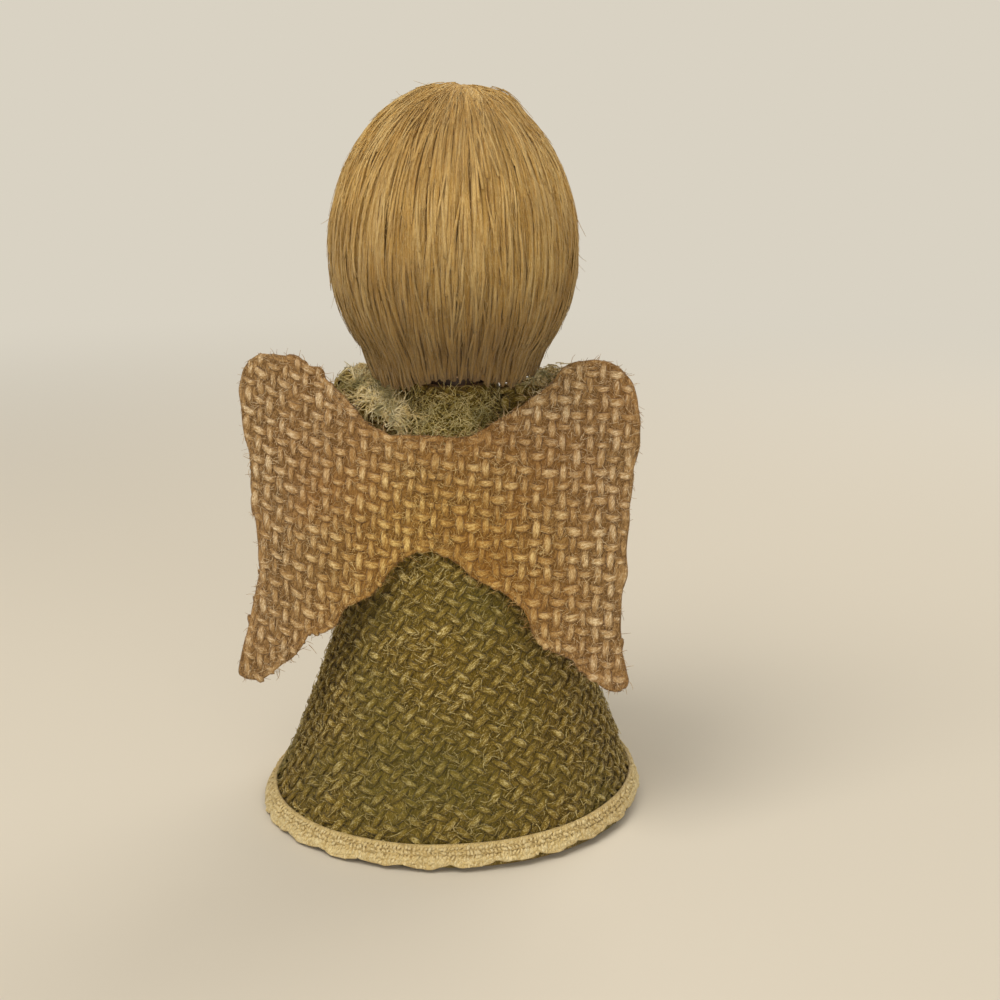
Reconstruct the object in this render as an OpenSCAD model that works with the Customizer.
// Jute angel ornament: a burlap dress glued over a stiff card cone, a foam egg head on a neck peg under
// jute hair, rolled burlap sleeves with felt hands, and one-piece burlap wings glued to the back.
// The figure stands on z = 0 and faces -Y, so its own left side is at +X.

/* [Dress] */
// Outer radius of the dress at the hem
hem_r = 39.5; // [35:0.5:44]
// Outer radius of the dress at the neck edge
neck_r = 8.6; // [8:0.2:10]
// Height of the neck edge above the table
dress_h = 90.4; // [86:0.2:98]
// How far the side of the dress hollows in at mid height
flare = 1.1; // [0:0.1:2]
// Thickness of the burlap of dress and sleeves
cloth_t = 1.4; // [0.8:0.1:1.8]
// How far the raw edge of the dress stays above the table
hem_lift = 0.5; // [0.3:0.1:1]

/* [Core] */
// Wall of the card cone
card_t = 0.9; // [0.6:0.1:1.4]
// Length of the wooden plug inside the top of the cone
plug_h = 24; // [20:1:32]
// How far the plug stands above the dress as a neck
neck_rise = 2; // [1.5:0.1:4]
// Radius of the neck peg
peg_r = 2.5; // [2:0.1:3]
// Length of peg glued into the plug
peg_sink = 17; // [12:1:19]
// Length of peg inside the head
peg_reach = 20; // [14:1:26]
// Free play of the head around the peg
peg_play = 0.06; // [0.02:0.01:0.1]

/* [Head] */
// Radius of the foam egg at its widest
head_r = 23; // [21:0.2:24.6]
// Height of the egg above its widest level
head_up = 31.1; // [28:0.1:33]
// Depth of the whole egg below its widest level
head_low = 26.5; // [25.4:0.1:29]
// How far below the widest level the egg is cut flat to sit on the neck
head_cut = 23.7; // [22:0.1:24.4]
// Gap that lets the head turn over the neck
turn_gap = 0.3; // [0.2:0.05:0.6]
// Thickness of the hair over the egg
hair_t = 2.5; // [1.5:0.1:3.5]
// How far the cut ends of the hair hang below the flat of the egg
hair_drop = 1.2; // [0.4:0.1:1.6]
// Half of the open face, as an angle round the head
face_half = 37; // [30:1:44]
// Width of one side lock, as an angle round the head
lock_turn = 50; // [36:1:60]
// How far above the egg's widest level the fringe ends
fringe_rise = 8; // [5:0.5:12]
// Radius of the whorl at the crown
whorl_r = 3; // [2:0.2:5]
// Parting between the bundles of hair, as an angle
part_turn = 0.8; // [0.5:0.1:1.5]

/* [Face] */
// Radius of a felt eye
eye_r = 1.7; // [1.2:0.1:2.4]
// Half of the space between the eyes
eye_x = 5.6; // [4:0.1:7]
// Height of the eyes against the egg's widest level
eye_z = -1.5; // [-4:0.5:2]
// Radius of the felt mouth
mouth_r = 1.6; // [1:0.1:2.2]
// How far the mouth lies below the egg's widest level
mouth_drop = 11; // [8:0.5:13]
// Thickness of the felt of the face
felt_t = 0.8; // [0.5:0.1:1.2]

/* [Sleeves] */
// How far the sleeve joint lies below the neck edge
shoulder_drop = 7; // [6.5:0.5:9]
// How deep the middle of the sleeve starts inside the side of the dress
shoulder_in = 2.5; // [2:0.1:3]
// How far in front of the middle the sleeve joint lies
shoulder_fore = 1.5; // [0:0.1:3]
// Radius of a sleeve at the shoulder
shoulder_r = 5.4; // [4.4:0.1:5.8]
// Radius of a sleeve at the wrist
cuff_r = 7.2; // [6:0.1:8]
// How far out the elbow draws the sleeve
elbow_out = 34; // [30:0.5:38]
// How far in front of the middle the elbow lies
elbow_fore = 2; // [0:0.1:4]
// How far the elbow is raised over the shoulder
elbow_rise = 7; // [3:0.5:8]
// Distance of the wrist from the middle plane
wrist_x = 9; // [8.6:0.1:12]
// How far forward the wrist reaches
wrist_reach = 29; // [26:0.5:31]
// How far the wrist hangs below the shoulder
wrist_drop = 8; // [4:0.5:12]
// Length of the hand out of its sleeve
hand_l = 11; // [9:0.5:12]
// Half width of the palm
palm_w = 3.6; // [2.6:0.1:4.4]
// Half thickness of the palm
palm_t = 1.7; // [1.2:0.1:2.2]

/* [Braid] */
// Height of the braid round the hem
braid_w = 5.8; // [4:0.2:8]
// Thickness of the braid
braid_t = 1.2; // [0.8:0.1:1.6]
// Width of the braid over the shoulders and round the wrists
strap_w = 5; // [3.6:0.2:6]
// How far the braid hangs below the sleeve joints on the chest
chest_drop = 12; // [9:0.5:15]
// How far the braid has come down where it leaves the sleeves
side_drop = 6.5; // [5:0.5:8]
// Number of scallops round the hem
scallops = 27; // [20:1:34]
// Depth of the notch between two scallops
notch_r = 1.1; // [0.6:0.1:1.6]

/* [Wings] */
// Thickness of the stiffened burlap of the wings
wing_t = 1.6; // [1:0.1:2.2]
// How far the middle of the wings lies below the neck edge
wing_drop = 20.6; // [17.4:0.2:24.4]
// Half width of the strip that is glued to the back
web_w = 5; // [3.5:0.1:6.5]
// How far to the figure's left the wings are glued off the middle
wing_shift = 1.6; // [0:0.2:1.8]
// How far each wing bends forward at its flex line
wing_bend = 7; // [0:0.5:14]
// Width of one wing from its flex line to its outer edge
wing_span = 36; // [31:0.2:37]
// Height of the upper lobe over the middle
wing_up = 27; // [23:0.1:29]
// How far the lower tip hangs under the middle
wing_down = 38.6; // [34:0.2:42]
// Height of the glued strip over the middle
web_up = 10.9; // [8:0.1:13]
// How far the glued strip reaches under the middle at its sides
web_down = 14; // [11:0.1:16]
// Rise of the arch under the glued strip
web_arch = 3; // [1:0.1:5]
// Radius of the upper lobe's round corner
lobe_r = 8; // [6:0.2:10]
// Width of the blunt lower tip
tip_w = 5.5; // [4:0.1:7]
// Free slit along the flex line between the glued strip and a wing
flex_gap = 0.6; // [0.5:0.05:1]

/* [Hidden] */
$fn = 72;
glue_t = 0.1;
wing_clear = 0.15;
bands = 10;
sleeve_steps = 14;
sleeve_sides = 20;
hand_sides = 16;
side_turn = atan((hem_r - neck_r) / dress_h);
dress_wall = wall(cloth_t);
card_out = dress_wall + glue_t;
card_in = card_out + wall(card_t);
plug_out = card_in + glue_t;
flat_z = dress_h + neck_rise + turn_gap;
head_z = flat_z + head_cut;
lock_in = whorl_r * 1.1;
hair_low = flat_z - hair_drop;
shoulder_z = dress_h - shoulder_drop;
shoulder = [dress_r(shoulder_z) - shoulder_in, -shoulder_fore, shoulder_z];
elbow = [elbow_out, -elbow_fore, shoulder_z + elbow_rise];
wrist = [wrist_x, -wrist_reach, shoulder_z - wrist_drop];
cuff_dir = unit(wrist - elbow);
wing_z = dress_h - wing_drop;
wing_lean = atan(-dress_slope(wing_z));
wing_y = dress_r(wing_z) + (wing_clear + wing_t / 2) / cos(wing_lean);

// Side of the dress: a cone that hollows in a little between hem and neck
function dress_r(z) = hem_r + (neck_r - hem_r) * z / dress_h - 4 * flare * z / dress_h * (1 - z / dress_h);
function dress_slope(z) = (neck_r - hem_r) / dress_h - 4 * flare / dress_h * (1 - 2 * z / dress_h);
function wall(t) = t / cos(side_turn);

// Small vector and curve helpers
function unit(v) = v / norm(v);
function across(p) = [-p.x, p.y, p.z];
function backwards(p) = [for (i = [len(p) - 1 : -1 : 0]) p[i]];
function square_to(v, dir) = unit(v - (v * dir) * dir);
function bend(a, b, c, t) = (1 - t) * (1 - t) * a + 2 * t * (1 - t) * b + t * t * c;
function bow(a, b, c, d, n) = [for (i = [0 : n - 1]) let (t = i / n)
  pow(1 - t, 3) * a + 3 * t * pow(1 - t, 2) * b + 3 * t * t * (1 - t) * c + pow(t, 3) * d];
function through(p, i, t) = let (a = p[max(i - 1, 0)], b = p[i], c = p[i + 1], d = p[min(i + 2, len(p) - 1)])
  0.5 * (2 * b + (c - a) * t + (2 * a - 5 * b + 4 * c - d) * t * t + (3 * b - a - 3 * c + d) * pow(t, 3));

// Solid skinned over a row of rings that all have the same number of points
module loft(rings) {
  n = len(rings[0]);
  last = len(rings) - 1;
  points = [for (ring = rings) for (p = ring) p];
  skin = [for (i = [0 : last - 1]) for (k = [0 : n - 1]) let (a = i * n + k, b = i * n + (k + 1) % n)
    for (f = [[a, a + n, b], [b, a + n, b + n]]) f];
  low = [for (k = [0 : n - 1]) k];
  high = [for (k = [n - 1 : -1 : 0]) last * n + k];
  polyhedron(points, concat(skin, [low, high]));
}

// Oval ring of points about a centre, square to a direction
function oval(centre, dir, side, a, b, n) = let (u = square_to(side, dir), w = cross(dir, u))
  [for (k = [0 : n - 1]) centre + a * cos(360 * k / n) * u + b * sin(360 * k / n) * w];

// Shell between two offsets from the side of the dress
module side_shell(inner, outer, low, high) {
  steps = [for (i = [0 : bands]) low + (high - low) * i / bands];
  rotate_extrude()
    polygon(concat([for (z = steps) [dress_r(z) + outer, z]],
      [for (z = backwards(steps)) [dress_r(z) + inner, z]]));
}

// Solid inside an offset from the side of the dress
module side_core(offset_out, low, high) {
  steps = [for (i = [0 : bands]) low + (high - low) * i / bands];
  rotate_extrude()
    polygon(concat([[0, low]], [for (z = steps) [dress_r(z) + offset_out, z]], [[0, high]]));
}

// Outline of the egg with a layer of some thickness on it, between two angles up from its widest level
function half_height(side, layer) = layer + (side < 0 ? head_low : head_up);
function turn_at_z(layer, z) = asin((z - head_z) / half_height(z - head_z, layer));
function turn_at_r(layer, r) = acos(r / (head_r + layer));
function egg_arc(layer, from, to) = [for (i = [0 : 16]) let (a = from + (to - from) * i / 16)
  [(head_r + layer) * cos(a), head_z + half_height(a, layer) * sin(a)]];

// Layer laid on the egg over part of a turn, from height low up to radius inner
module egg_layer(under, over, low, inner, start, turn) {
  outside = egg_arc(over, turn_at_z(over, low), turn_at_r(over, inner));
  inside = egg_arc(under, turn_at_z(under, low), turn_at_r(under, inner));
  rotate([0, 0, start])
    rotate_extrude(angle = turn)
      polygon(concat(outside, backwards(inside)));
}

// Sleeve: rings along its bent middle line, out over the cloth and back inside it
function sleeve_at(t) = bend(shoulder, elbow, wrist, t);
function sleeve_dir(t) = unit((1 - t) * (elbow - shoulder) + t * (wrist - elbow));
function sleeve_r(t) = shoulder_r + (cuff_r - shoulder_r) * t;
function sleeve_ring(t, grow) = oval(sleeve_at(t), sleeve_dir(t), [0, 0, 1],
  sleeve_r(t) + grow, sleeve_r(t) + grow, sleeve_sides);

module sleeve() {
  outside = [for (i = [0 : sleeve_steps]) sleeve_ring(i / sleeve_steps, 0)];
  inside = [for (i = [sleeve_steps : -1 : 5]) sleeve_ring(i / sleeve_steps, -cloth_t)];
  color("#5d6b33")
    difference() {
      loft(concat(outside, inside));
      side_core(glue_t, shoulder_z - 3 * shoulder_r, dress_h);
    }
}

module sleeve_body(grow) {
  loft([for (i = [0 : sleeve_steps]) sleeve_ring(i / sleeve_steps, grow)]);
}

module along_cuff() {
  translate(wrist)
    rotate([0, acos(cuff_dir.z), atan2(cuff_dir.y, cuff_dir.x)])
      children();
}

module cuff_trim() {
  color("#efe6cd")
    along_cuff()
      translate([0, 0, -strap_w])
        difference() {
          cylinder(r = cuff_r + glue_t + braid_t, h = strap_w);
          translate([0, 0, -1])
            cylinder(r = cuff_r + glue_t, h = strap_w + 2);
        }
}

// Hand: a wrist that fills the end of the sleeve, then a flat mitt that turns up to meet the other one
module hand() {
  fill_r = cuff_r - cloth_t - 2 * glue_t;
  heel = wrist + cuff_dir * hand_l * 0.23;
  palm = [palm_t * 1.94, heel.y - hand_l * 0.2, heel.z + hand_l * 0.24];
  knuckle = [palm_t * 1.47, palm.y - hand_l * 0.14, palm.z + hand_l * 0.32];
  tip = [palm_t * 0.74, knuckle.y - hand_l * 0.07, palm.z + hand_l * 0.68];
  rise = unit(tip - palm);
  color("#e8c9a4")
    loft([
      oval(wrist - strap_w * cuff_dir, cuff_dir, [0, 0, 1], fill_r * 0.9, fill_r * 0.9, hand_sides),
      oval(wrist - strap_w * 0.24 * cuff_dir, cuff_dir, [0, 0, 1], fill_r, fill_r, hand_sides),
      oval(wrist - strap_w * 0.1 * cuff_dir, cuff_dir, [0, 0, 1], palm_w * 0.85, palm_w * 0.85, hand_sides),
      oval(heel, unit(cuff_dir + [0, 0, 0.4]), [0, 0.2, 1], palm_w * 0.85, palm_w * 0.75, hand_sides),
      oval(palm, unit(rise + cuff_dir * 0.6), [0, 1, 0.6], palm_w, palm_t * 1.2, hand_sides),
      oval(knuckle, rise, [0, 1, 0.1], palm_w * 0.95, palm_t, hand_sides),
      oval((knuckle + 2 * tip) / 3, rise, [0, 1, 0.1], palm_w * 0.75, palm_t * 0.75, hand_sides),
      oval(tip, rise, [0, 1, 0.1], palm_w * 0.4, palm_t * 0.45, hand_sides)
    ]);
}

module card_cone() {
  color("#a9825a")
    side_shell(-card_in, -card_out, 0, dress_h);
}

module neck_plug() {
  top_r = dress_r(dress_h) - plug_out;
  color("#cfa671")
    difference() {
      union() {
        side_core(-plug_out, dress_h - plug_h, dress_h);
        translate([0, 0, dress_h - 0.5])
          cylinder(r = top_r, h = neck_rise + 0.5);
      }
      translate([0, 0, dress_h - peg_sink])
        cylinder(r = peg_r + glue_t / 2, h = peg_sink + neck_rise + 1);
    }
}

module neck_dowel() {
  color("#d9b987")
    translate([0, 0, dress_h - peg_sink + glue_t])
      cylinder(r = peg_r, h = peg_sink + neck_rise + turn_gap + peg_reach);
}

module dress() {
  color("#5d6b33")
    side_shell(-dress_wall, 0, hem_lift, dress_h);
}

module hem_trim() {
  color("#efe6cd")
    difference() {
      side_shell(glue_t, glue_t + wall(braid_t), hem_lift, hem_lift + braid_w);
      for (i = [0 : scallops - 1])
        rotate([0, 0, 360 * i / scallops])
          translate([hem_r - 5, 0, hem_lift])
            rotate([0, 90, 0])
              cylinder(r = notch_r, h = 12, $fn = 24);
    }
}

// Braid over the shoulders: from its left end behind, over the sleeve, across the chest, and over the
// other sleeve to an end that stays higher up
module neck_trim() {
  back_z = shoulder_z - strap_w / 10;
  chest_z = shoulder_z - chest_drop;
  side_z = shoulder_z - side_drop;
  top_r = sleeve_r(0.3) + glue_t + braid_t / 2;
  over = sleeve_at(0.3);
  left = [
    [dress_r(back_z) * 0.8, dress_r(back_z) * 0.85, back_z],
    [over.x - strap_w * 0.2, over.y + top_r * 0.84, over.z + top_r * 0.64],
    [over.x, over.y + strap_w * 0.1, over.z + top_r],
    [over.x - strap_w * 0.5, over.y - top_r * 0.95, over.z + top_r * 0.45],
    [dress_r(side_z) * 0.62, -dress_r(side_z) * 0.98, side_z]
  ];
  facing = [[0.6, 0.75, 0.3], [0.1, 0.7, 0.7], [0, 0, 1], [-0.2, -0.85, 0.45], [0.45, -0.85, 0.3]];
  chest = [0, -dress_r(chest_z) - glue_t - braid_t, chest_z];
  path = concat(left, [chest], [for (i = [4 : -1 : 1]) across(left[i])]);
  faces = concat(facing, [[0, -0.95, 0.3]], [for (i = [4 : -1 : 1]) across(facing[i])]);
  steps = [for (i = [0 : len(path) - 2]) for (t = [0 : 0.25 : 0.75]) [i, t]];
  stops = concat(steps, [[len(path) - 2, 1]]);
  middles = [for (s = stops) through(path, s[0], s[1])];
  ups = [for (s = stops) unit(through(faces, s[0], s[1]))];
  last = len(middles) - 1;
  rings = [for (i = [0 : last])
    let (dir = unit(middles[min(i + 1, last)] - middles[max(i - 1, 0)]), up = square_to(ups[i], dir),
      side = cross(dir, up), w = strap_w / 2, h = braid_t / 2, c = min(w, h) * 0.6)
    [for (q = [[w, h - c], [w - c, h], [c - w, h], [-w, h - c],
      [-w, c - h], [c - w, -h], [w - c, -h], [w, c - h]])
      middles[i] + q[0] * side + q[1] * up]];
  color("#efe6cd")
    difference() {
      loft(rings);
      side_core(glue_t, shoulder_z - 2 * chest_drop, dress_h);
      sleeve_body(glue_t);
      mirror([1, 0, 0])
        sleeve_body(glue_t);
    }
}

module head_egg() {
  color("#f0d3b2")
    difference() {
      rotate_extrude()
        polygon(concat([[0, flat_z]], egg_arc(0, turn_at_z(0, flat_z), 90)));
      translate([0, 0, flat_z - 1])
        cylinder(r = peg_r + peg_play, h = peg_reach + 1.5);
    }
}

// Hair of the back of the head, with the whorl that the strands run out from
module hair_back() {
  turn = 360 - 2 * face_half - 2 * lock_turn - part_turn;
  outside = egg_arc(hair_t, turn_at_r(hair_t, whorl_r), 90);
  inside = egg_arc(glue_t, turn_at_r(glue_t, whorl_r), 90);
  color("#b07a35") {
    egg_layer(glue_t, hair_t, hair_low, 0, 90 - turn / 2, turn);
    rotate_extrude()
      polygon(concat(outside, backwards(inside)));
  }
}

module hair_left() {
  color("#b98540")
    egg_layer(glue_t, hair_t, hair_low, lock_in, 270 + face_half + part_turn / 2, lock_turn - part_turn);
}

module hair_right() {
  mirror([1, 0, 0])
    hair_left();
}

module hair_fringe() {
  color("#bd8a45")
    egg_layer(glue_t, hair_t, head_z + fringe_rise, lock_in,
      270 - face_half + part_turn / 2, 2 * face_half - part_turn);
}

// Felt dot that follows the face
module face_dot(x, z, r) {
  intersection() {
    egg_layer(glue_t / 2, felt_t, flat_z + 1, 4, 270 - face_half, 2 * face_half);
    translate([x, 0, z])
      rotate([90, 0, 0])
        cylinder(r = r, h = 2 * head_r);
  }
}

module eye_left() {
  color("#2c211b")
    face_dot(eye_x, head_z + eye_z, eye_r);
}

module eye_right() {
  color("#2c211b")
    face_dot(-eye_x, head_z + eye_z, eye_r);
}

module mouth() {
  color("#b8453a")
    face_dot(0, head_z - mouth_drop, mouth_r);
}

// Plane of the wings, that lies along the back of the dress: x to the left, y up along the dress
module on_back() {
  translate([wing_shift, wing_y, wing_z])
    rotate([90 + wing_lean, 0, 0])
      children();
}

// Glued strip between the wings, with an arch under it
module wing_centre() {
  half = web_w - flex_gap / 2;
  arch = bow([half, -web_down], [half * 0.6, web_arch * 0.7 - web_down], [half * 0.4, web_arch - web_down],
    [0, web_arch - web_down], 5);
  color("#b56a2b")
    on_back()
      linear_extrude(wing_t, center = true)
        polygon(concat([[-half, web_up], [half, web_up]], arch, [[0, web_arch - web_down]],
          [for (p = backwards(arch)) [-p.x, p.y]]));
}

// Wing: flat cloth with a round upper lobe and a narrow lower tip
module wing() {
  edge = flex_gap / 2;
  lobe = [wing_span - lobe_r, wing_up - lobe_r];
  tip = [wing_span * 0.945, -wing_down];
  blunt = tip + tip_w * [0.22, 0.29];
  upper = bow([edge, web_up], [wing_span * 0.31, web_up * 0.87], [wing_span * 0.48, wing_up * 0.87],
    [lobe.x, wing_up], 10);
  corner = [for (a = [90 : -10 : 10]) lobe + lobe_r * [cos(a), sin(a)]];
  outer = bow([wing_span, lobe.y], [wing_span, lobe.y * 0.32], [wing_span * 0.865, -wing_down * 0.48],
    blunt, 10);
  inner = bow(tip + tip_w * [-1, 0.25], [wing_span * 0.57, -wing_down * 0.8],
    [wing_span * 0.25, -web_down * 1.46], [edge, -web_down], 10);
  color("#b56a2b")
    linear_extrude(wing_t, center = true)
      polygon(concat(upper, corner, outer, [blunt, tip], inner, [[edge, -web_down]]));
}

module wing_left() {
  on_back()
    translate([web_w, 0, 0])
      rotate([0, -wing_bend, 0])
        wing();
}

module wing_right() {
  on_back()
    mirror([1, 0, 0])
      translate([web_w, 0, 0])
        rotate([0, -wing_bend, 0])
          wing();
}

module sleeve_left() {
  sleeve();
}

module sleeve_right() {
  mirror([1, 0, 0])
    sleeve();
}

module cuff_trim_left() {
  cuff_trim();
}

module cuff_trim_right() {
  mirror([1, 0, 0])
    cuff_trim();
}

module hand_left() {
  hand();
}

module hand_right() {
  mirror([1, 0, 0])
    hand();
}

card_cone();
neck_plug();
neck_dowel();
dress();
hem_trim();
neck_trim();
sleeve_left();
sleeve_right();
cuff_trim_left();
cuff_trim_right();
hand_left();
hand_right();
head_egg();
hair_back();
hair_left();
hair_right();
hair_fringe();
eye_left();
eye_right();
mouth();
wing_centre();
wing_left();
wing_right();
